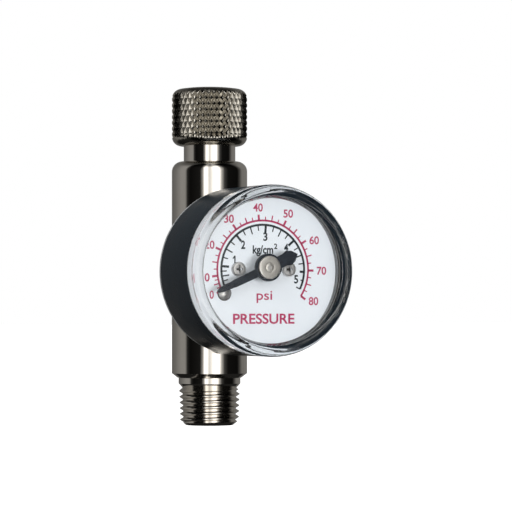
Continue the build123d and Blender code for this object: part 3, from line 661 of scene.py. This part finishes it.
def case():
    """The pressed cup: a groove round its back, a rounded back edge and an open lip."""
    outline = [
        (CASE_HOLE_R, CASE_BACK + CASE_WALL, 0),
        (CASE_HOLE_R, CASE_BACK, CASE_HOLE_CORNER),
        (CASE_R - GROOVE_START_INSET, CASE_BACK, GROOVE_INNER_CORNER),
        (CASE_R - GROOVE_FLOOR_INSET, CASE_BACK + GROOVE_DEPTH, GROOVE_INNER_CORNER),
        (CASE_R - GROOVE_END_INSET, CASE_BACK, GROOVE_OUTER_CORNER),
        (CASE_R, CASE_BACK, CASE_EDGE_CORNER),
        (CASE_R, CASE_FRONT, CASE_LIP_CORNER),
        (CASE_R - CASE_WALL, CASE_FRONT, CASE_LIP_CORNER),
        (CASE_R - CASE_WALL, CASE_BACK + CASE_WALL, CASE_INSIDE_CORNER),
    ]
    cup = rounded(outline)
    piece = lathe("case_cup", cup, GAUGE, "black_paint", "housing", closed=True)
    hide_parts("gauge_case")


WINDOW_DEPTH = 1.38 * MM
WINDOW_INSET = 2.03 * MM
WINDOW_CORNER = 0.06 * MM
BEAD_INSET = 1.5 * MM
BEAD_INNER_CORNER = 0.85 * MM
BEAD_OUTER_CORNER = 0.78 * MM
LENS_INSIDE_DEPTH = 1.9 * MM
LENS_INSIDE_INSET = 1.1 * MM
LENS_INSIDE_CORNER = 0.2 * MM
SKIRT_INNER_INSET = 1.0 * MM
SKIRT_OUTER_INSET = 0.65 * MM
SKIRT_CORNER = 0.1 * MM
LENS_CORNER_STEPS = 8
LENS_SEGMENTS = 200


def lens():
    """The clear cap: a flat window inside a raised bead, and a skirt that plugs into the case."""
    window = LENS_FRONT - WINDOW_DEPTH
    inside = LENS_FRONT - LENS_INSIDE_DEPTH
    outline = [
        (0, inside, 0),
        (CASE_R - LENS_INSIDE_INSET, inside, LENS_INSIDE_CORNER),
        (CASE_R - SKIRT_INNER_INSET, LENS_BACK, 0),
        (CASE_R - SKIRT_OUTER_INSET, LENS_BACK, SKIRT_CORNER),
        (CASE_R - SKIRT_OUTER_INSET, CASE_FRONT, 0),
        (CASE_R, CASE_FRONT, SKIRT_CORNER),
        (CASE_R, LENS_FRONT, BEAD_OUTER_CORNER),
        (CASE_R - BEAD_INSET, LENS_FRONT, BEAD_INNER_CORNER),
        (CASE_R - WINDOW_INSET, window, WINDOW_CORNER),
        (0, window, 0),
    ]
    cap = rounded(outline, LENS_CORNER_STEPS)
    piece = lathe("lens_cap", cap, GAUGE, "lens_clear", "housing", LENS_SEGMENTS)
    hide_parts("lens")


HUB_BORE_R = 0.36 * MM
HUB_EDGE = 0.12 * MM
HUB_GROOVE_R = 0.75 * MM
HUB_GROOVE_CORNER = 0.03 * MM
HUB_GROOVE_FLOOR_R = 0.66 * MM
HUB_GROOVE_DEPTH = 0.06 * MM
HUB_GROOVE_FLOOR_CORNER = 0.02 * MM
HUB_CENTRE_DEPTH = 0.02 * MM
HUB_CENTRE_CORNER = 0.05 * MM
HUB_SEGMENTS = 96


def hub():
    """The turned cap with one fine groove in its face and the staff's end in its middle."""
    outline = [
        (HUB_BORE_R, HUB_BACK, 0),
        (HUB_R, HUB_BACK, 0),
        (HUB_R, HUB_FRONT, HUB_EDGE),
        (HUB_GROOVE_R, HUB_FRONT, HUB_GROOVE_CORNER),
        (HUB_GROOVE_FLOOR_R, HUB_FRONT - HUB_GROOVE_DEPTH, HUB_GROOVE_FLOOR_CORNER),
        (HUB_BORE_R, HUB_FRONT - HUB_CENTRE_DEPTH, HUB_CENTRE_CORNER),
    ]
    cap = rounded(outline)
    material = "hub_metal"
    piece = lathe("hub_cap", cap, STAFF, material, "pointer_staff", HUB_SEGMENTS, closed=True)
    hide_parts("pointer_hub")


# ---------------------------------------------------------------- dial print

PRINT_LIFT = 0.012 * MM
RED_ARC_R = 7.53 * MM
BLACK_ARC_R = 6.86 * MM
SCALE_CENTRE = (-0.11 * MM, 0.23 * MM)
RED_ARC_WIDTH = 0.3 * MM
BLACK_ARC_WIDTH = 0.34 * MM
FULL_PSI = 80
FULL_KG = 5.5
PSI_STEP = 2.5
PSI_LABEL_STEP = 10
KG_STEPS = 4
MARK_STEPS = 4

# Marks of both scales: (pressure, degrees clockwise from the dial's left-hand horizontal).
PSI_MARKS = (
    (0, -25.7),
    (10, -7.5),
    (20, 23),
    (30, 54),
    (40, 85),
    (50, 117),
    (60, 148),
    (70, 181),
    (80, 213),
)
KG_MARKS = ((0, -21.7), (1, 4), (2, 50), (3, 94), (4, 139), (5, 183), (5.5, 206))


def scale_angle(marks, pressure):
    """The angle of a pressure between the two nearest marks of its scale."""
    for (low, first), (high, last) in zip(marks, marks[1:]):
        if pressure <= high:
            return first + (last - first) * (pressure - low) / (high - low)
    return marks[-1][1]


def on_dial(radius, angle):
    """Dial coordinates of a point at a radius and a scale angle."""
    turn = math.radians(180 - angle)
    return SCALE_CENTRE[0] + radius * math.cos(turn), SCALE_CENTRE[1] + radius * math.sin(turn)


ONE_FLAG_DROP = 0.25
ONE_FLAG_SLOPE = 1.6
LETTER_CURVE_STEPS = 6


class Ink:
    """Collects flat printed shapes of one colour into one mesh."""

    def __init__(self):
        self.points = []
        self.faces = []

    def polygon(self, outline):
        """One flat shape from its (x, y) corners."""
        start = len(self.points)
        self.points += [Vector((x, y, DIAL_FRONT + PRINT_LIFT)) for x, y in outline]
        self.faces.append(tuple(range(start, start + len(outline))))

    def arc(self, radius, width, first, last, steps=160):
        """A band round the scale's centre between two scale angles."""
        for step in range(steps):
            a = first + (last - first) * step / steps
            b = first + (last - first) * (step + 1) / steps
            inner, outer = radius - width / 2, radius + width / 2
            self.polygon([on_dial(inner, b), on_dial(outer, b), on_dial(outer, a), on_dial(inner, a)])

    def tick(self, inner, outer, width, angle):
        """A straight mark along a radius."""
        x1, y1 = on_dial(inner, angle)
        x2, y2 = on_dial(outer, angle)
        length = math.hypot(x2 - x1, y2 - y1)
        sx, sy = (y1 - y2) / length * width / 2, (x2 - x1) / length * width / 2
        self.polygon([(x1 - sx, y1 - sy), (x2 - sx, y2 - sy), (x2 + sx, y2 + sy), (x1 + sx, y1 + sy)])

    def text(self, words, height, width, place, weight=0.0):
        """Lettering in the built-in face, fitted to a height and a width and centred on a place."""
        curve = bpy.data.curves.new("lettering", "FONT")
        curve.body = words
        curve.offset = weight
        curve.resolution_u = LETTER_CURVE_STEPS
        holder = bpy.data.objects.new("lettering", curve)
        bpy.context.scene.collection.objects.link(holder)
        bpy.context.view_layer.update()
        shaped = holder.evaluated_get(bpy.context.evaluated_depsgraph_get())
        mesh = bpy.data.meshes.new_from_object(shaped)
        xs = [v.co.x for v in mesh.vertices]
        ys = [v.co.y for v in mesh.vertices]
        scale_x = width / (max(xs) - min(xs))
        scale_y = height / (max(ys) - min(ys))
        middle_x, middle_y = (max(xs) + min(xs)) / 2, (max(ys) + min(ys)) / 2
        start = len(self.points)
        for v in mesh.vertices:
            x = place[0] + (v.co.x - middle_x) * scale_x
            y = place[1] + (v.co.y - middle_y) * scale_y
            self.points.append(Vector((x, y, DIAL_FRONT + PRINT_LIFT)))
        self.faces += [tuple(start + i for i in p.vertices) for p in mesh.polygons]
        bpy.data.objects.remove(holder)
        bpy.data.meshes.remove(mesh)

    def one(self, height, width, stroke, place):
        """The figure 1: an upright with a flag on its left."""
        x, y = place
        left, right = x - width / 2, x + width / 2
        low, high = y - height / 2, y + height / 2
        flag = high - height * ONE_FLAG_DROP
        upright = [(right, low), (right, high), (right - stroke, high)]
        tip = [(left, flag), (left, flag - stroke)]
        inner = [(right - stroke, high - stroke * ONE_FLAG_SLOPE), (right - stroke, low)]
        self.polygon(upright + tip + inner)

    def finish(self, name, material):
        """The collected shapes as one piece on the dial."""
        points = [GAUGE @ p for p in self.points]
        return make_piece(name, points, self.faces, material, "housing")


DIGIT_HEIGHT = 1.28 * MM
DIGIT_WIDTH = 0.70 * MM
NARROW_DIGIT_WIDTH = 0.46 * MM
DIGIT_GAP = 0.2 * MM
LABEL_R = 9.55 * MM
LABEL_WEIGHT = 0.02

# Numbers in psi that sit off their regular place: (radius, degrees to turn).
LABEL_SHIFTS = {
    0: (9.3 * MM, 1),
    50: (9.6 * MM, -1),
    60: (9.7 * MM, 4),
    70: (9.8 * MM, 0),
    80: (9.75 * MM, -3),
}

# Tick ends and widths for a half mark, a quarter mark and a numbered mark.
RED_TICK_ENDS = (8.42 * MM, 8.12 * MM, 8.45 * MM)
RED_TICK_WIDTHS = (0.2 * MM, 0.17 * MM, 0.34 * MM)
BLACK_TICK_ENDS = (5.65 * MM, 5.98 * MM, 5.62 * MM)
BLACK_TICK_WIDTHS = (0.21 * MM, 0.19 * MM, 0.36 * MM)
LAST_TICKS_FROM = 20
LAST_TICKS_SHORTER = 0.5 * MM

# The inner numbers from 1 upwards: (radius, scale angle).
INNER_LABELS = (
    (4.97 * MM, 16.7),
    (5.0 * MM, 49),
    (5.05 * MM, 94.5),
    (5.1 * MM, 139),
    (5.72 * MM, 195.2),
)
INNER_HEIGHT = 1.32 * MM
INNER_WEIGHT = 0.03
ONE_STROKE = 0.22 * MM

# Words on the dial: (words, height, width, place, weight).
RED_WORDS = (
    ("psi", 1.85 * MM, 2.6 * MM, (0.12 * MM, -4.0 * MM), 0.008),
    ("PRESSURE", 1.6 * MM, 10.2 * MM, (0.04 * MM, -7.35 * MM), 0.022),
)
BLACK_WORDS = (
    ("kg/cm", 1.7 * MM, 3.4 * MM, (-0.12 * MM, 3.1 * MM), 0.03),
    ("2", 0.85 * MM, 0.55 * MM, (2.0 * MM, 3.8 * MM), 0.03),
)


def tick_kind(step):
    """0 for a half mark, 1 for a quarter mark, 2 for a numbered mark."""
    return 2 if step % MARK_STEPS == 0 else step % 2


def number_width(text):
    """The printed width of a number, in which the figure 1 is narrow."""
    widths = [NARROW_DIGIT_WIDTH if digit == "1" else DIGIT_WIDTH for digit in text]
    return sum(widths) + DIGIT_GAP * (len(text) - 1)


def red_print():
    """The outer scale in psi with its numbers and words."""
    ink = Ink()
    ink.arc(RED_ARC_R, RED_ARC_WIDTH, PSI_MARKS[0][1], PSI_MARKS[-1][1])
    for step in range(int(FULL_PSI / PSI_STEP) + 1):
        kind = tick_kind(step)
        angle = scale_angle(PSI_MARKS, step * PSI_STEP)
        ink.tick(RED_ARC_R, RED_TICK_ENDS[kind], RED_TICK_WIDTHS[kind], angle)
    for psi in range(0, FULL_PSI + PSI_LABEL_STEP, PSI_LABEL_STEP):
        radius, turn = LABEL_SHIFTS.get(psi, (LABEL_R, 0))
        place = on_dial(radius, scale_angle(PSI_MARKS, psi) + turn)
        ink.text(str(psi), DIGIT_HEIGHT, number_width(str(psi)), place, LABEL_WEIGHT)
    for words in RED_WORDS:
        ink.text(*words)
    ink.finish("dial_print_red", "print_red")


def black_print():
    """The inner scale in kg/cm2 with its numbers and unit."""
    ink = Ink()
    ink.arc(BLACK_ARC_R, BLACK_ARC_WIDTH, KG_MARKS[0][1], KG_MARKS[-1][1])
    for step in range(int(FULL_KG * KG_STEPS) + 1):
        kind = tick_kind(step)
        inner = BLACK_TICK_ENDS[kind]
        if step >= LAST_TICKS_FROM:
            inner += LAST_TICKS_SHORTER
        ink.tick(inner, BLACK_ARC_R, BLACK_TICK_WIDTHS[kind], scale_angle(KG_MARKS, step / KG_STEPS))
    for number, (radius, angle) in enumerate(INNER_LABELS, start=1):
        place = on_dial(radius, angle)
        if number == 1:
            ink.one(INNER_HEIGHT, NARROW_DIGIT_WIDTH, ONE_STROKE, place)
        else:
            ink.text(str(number), INNER_HEIGHT, DIGIT_WIDTH, place, INNER_WEIGHT)
    for words in BLACK_WORDS:
        ink.text(*words)
    ink.finish("dial_print_black", "print_black")


# ---------------------------------------------------------------- stage

PHOTO_AZIMUTH = math.radians(-20.9)
CAMERA_BACK = Vector((math.sin(PHOTO_AZIMUTH), -math.cos(PHOTO_AZIMUTH), 0))
CAMERA_RIGHT = Vector((math.cos(PHOTO_AZIMUTH), math.sin(PHOTO_AZIMUTH), 0))
CAMERA_DISTANCE = 0.45
EYE_HEIGHT = 0.0199
VIEW_WIDTH = 0.0816
AIM_RIGHT = 0.00741
AIM_HEIGHT = 0.0269
SENSOR_WIDTH = 36
CLIP_NEAR = 0.01
CLIP_FAR = 20
FLOOR_DROP = 0.04
FLOOR_HALF = 6.0
FLOOR_GLOW = 1.1


def camera():
    """The photograph's view: level with the gauge and a little to its left."""
    data = bpy.data.cameras.new("camera")
    data.sensor_width = SENSOR_WIDTH
    data.lens = SENSOR_WIDTH * CAMERA_DISTANCE / VIEW_WIDTH
    data.clip_start = CLIP_NEAR
    data.clip_end = CLIP_FAR
    holder = bpy.data.objects.new("camera", data)
    bpy.context.scene.collection.objects.link(holder)
    place = CAMERA_BACK * CAMERA_DISTANCE + Vector((0, 0, EYE_HEIGHT))
    aim = CAMERA_RIGHT * AIM_RIGHT + Vector((0, 0, AIM_HEIGHT))
    holder.location = place
    holder.rotation_mode = "QUATERNION"
    holder.rotation_quaternion = (aim - place).to_track_quat("-Z", "Y")
    bpy.context.scene.camera = holder


# Studio brightness round the object: (degrees to the right of the camera, brightness).
STUDIO = (
    (-180, 0.16),
    (-150, 0.13),
    (-126, 0.17),
    (-96, 0.28),
    (-80, 0.28),
    (-72, 0.02),
    (-62, 0.004),
    (-28, 0.01),
    (-20, 0.35),
    (-14, 1.9),
    (-6, 1.6),
    (-2, 0.85),
    (1, 0.9),
    (8, 1.3),
    (16, 2.2),
    (28, 2.2),
    (37, 0.5),
    (46, 0.05),
    (58, 0.006),
    (96, 0.004),
    (105, 0.05),
    (119, 0.18),
    (141, 0.2),
    (180, 0.16),
)


# The studio fades out overhead and underfoot: heights of a direction's unit vector, and what is left.
OVERHEAD_START, OVERHEAD_END, OVERHEAD_LEFT = 0.55, 0.85, 0.2
UNDERFOOT_END, UNDERFOOT_START, UNDERFOOT_LEFT = -0.45, -0.32, 0.08
WARM_TINT = (1, 0.975, 0.93)


def studio_strips(tree, direction, top):
    """The studio's brightness round the object, as a share of its brightest strip."""
    across = add(tree, "ShaderNodeVectorMath", {0: direction, 1: CAMERA_RIGHT}, operation="DOT_PRODUCT")
    behind = add(tree, "ShaderNodeVectorMath", {0: direction, 1: CAMERA_BACK}, operation="DOT_PRODUCT")
    inputs = {0: across.outputs["Value"], 1: behind.outputs["Value"]}
    bearing = add(tree, "ShaderNodeMath", inputs, operation="ARCTAN2").outputs[0]
    strips = add(tree, "ShaderNodeValToRGB", {0: ramp(tree, bearing, -math.pi, math.pi, 0, 1)})
    stops = strips.color_ramp.elements
    while len(stops) > 1:
        stops.remove(stops[-1])
    for number, (degrees, level) in enumerate(STUDIO):
        stop = stops[0] if number == 0 else stops.new((degrees + 180) / 360)
        stop.position = (degrees + 180) / 360
        stop.color = (*(level / top * tint for tint in WARM_TINT), 1)
    return strips.outputs[0]


def studio_fade(tree, direction):
    """The share of the studio's light that is left at a direction's height."""
    height = add(tree, "ShaderNodeSeparateXYZ", {0: direction}).outputs["Z"]
    up = ramp(tree, height, OVERHEAD_START, OVERHEAD_END, 1, OVERHEAD_LEFT)
    down = ramp(tree, height, UNDERFOOT_END, UNDERFOOT_START, UNDERFOOT_LEFT, 1)
    return multiply(tree, up, down)


def world():
    """Tall soft light strips and dark gaps, seen in reflections; plain white to the camera."""
    studio = bpy.data.worlds.new("studio")
    studio.use_nodes = True
    bpy.context.scene.world = studio
    tree = studio.node_tree
    tree.nodes.clear()
    top = max(level for _, level in STUDIO)
    direction = add(tree, "ShaderNodeTexCoord").outputs["Generated"]
    strips = studio_strips(tree, direction, top)
    strength = multiply(tree, studio_fade(tree, direction), top)
    lit = add(tree, "ShaderNodeBackground", {"Color": strips, "Strength": strength})
    plain = add(tree, "ShaderNodeBackground", {"Color": (1, 1, 1, 1), "Strength": 1.0})
    path = add(tree, "ShaderNodeLightPath")
    mix = add(tree, "ShaderNodeMixShader", {0: path.outputs["Is Camera Ray"], 1: lit.outputs[0]})
    tree.links.new(plain.outputs[0], mix.inputs[2])
    output = add(tree, "ShaderNodeOutputWorld")
    tree.links.new(mix.outputs[0], output.inputs["Surface"])


def soft_lamp(name, place, size, power, colour):
    """A square lamp aimed at the gauge, hidden from the camera and from reflections."""
    data = bpy.data.lights.new(name, "AREA")
    data.shape = "SQUARE"
    data.size = size
    data.energy = power
    data.color = colour
    lamp = bpy.data.objects.new(name, data)
    bpy.context.scene.collection.objects.link(lamp)
    lamp.location = place
    lamp.rotation_mode = "QUATERNION"
    lamp.rotation_quaternion = (Vector((0, 0, GAUGE_Z)) - Vector(place)).to_track_quat("-Z", "Y")
    lamp.visible_glossy = False
    lamp.visible_transmission = False
    lamp.visible_camera = False


KEY_PLACE = CAMERA_BACK * 0.30 + CAMERA_RIGHT * 0.22 + Vector((0, 0, -0.01))
FILL_PLACE = CAMERA_BACK * 0.30 - CAMERA_RIGHT * 0.25 + Vector((0, 0, 0.15))
TOP_PLACE = Vector((0.05, 0.15, 0.5))

# Soft lamps: (name, place, size in metres, power in watts, colour).
LAMPS = (
    ("key_lamp", KEY_PLACE, 0.16, 1.2, (1.0, 0.98, 0.96)),
    ("fill_lamp", FILL_PLACE, 0.3, 0.8, (0.96, 0.98, 1.0)),
    ("top_lamp", TOP_PLACE, 0.4, 2.0, (1, 1, 1)),
)


def white_floor():
    """A wide glowing floor below the part, hidden from reflections and from bounced light."""
    data = bpy.data.meshes.new("floor")
    half = FLOOR_HALF
    corners = [(-half, -half), (half, -half), (half, half), (-half, half)]
    data.from_pydata([(x, y, -FLOOR_DROP) for x, y in corners], [], [(0, 1, 2, 3)])
    floor = bpy.data.objects.new("floor", data)
    bpy.context.scene.collection.objects.link(floor)
    material, _, shader = new_material("floor_white")
    shader.inputs["Base Color"].default_value = (0.9, 0.9, 0.9, 1)
    shader.inputs["Roughness"].default_value = 0.9
    shader.inputs["Specular IOR Level"].default_value = 0.0
    shader.inputs["Emission Color"].default_value = (1, 1, 1, 1)
    shader.inputs["Emission Strength"].default_value = FLOOR_GLOW
    data.materials.append(material)
    floor.visible_glossy = False
    floor.visible_diffuse = False
    floor.visible_transmission = False


def stage():
    """The floor, the lamps and the plain view transform."""
    white_floor()
    for lamp in LAMPS:
        soft_lamp(*lamp)
    bpy.context.scene.view_settings.view_transform = "Standard"


# ---------------------------------------------------------------- the scene


def dress_cad_nodes():
    """Gives every CAD node the detailed material of its slot."""
    slots = {s["node"]: s["material_slot"] for s in frame["record"]["subparts"]}
    for name, node in frame["nodes"].items():
        node.data.materials.clear()
        node.data.materials.append(MATERIALS[slots[name]])


dress_cad_nodes()
camera()
world()
stage()
knob()
case()
lens()
hub()
red_print()
black_print()
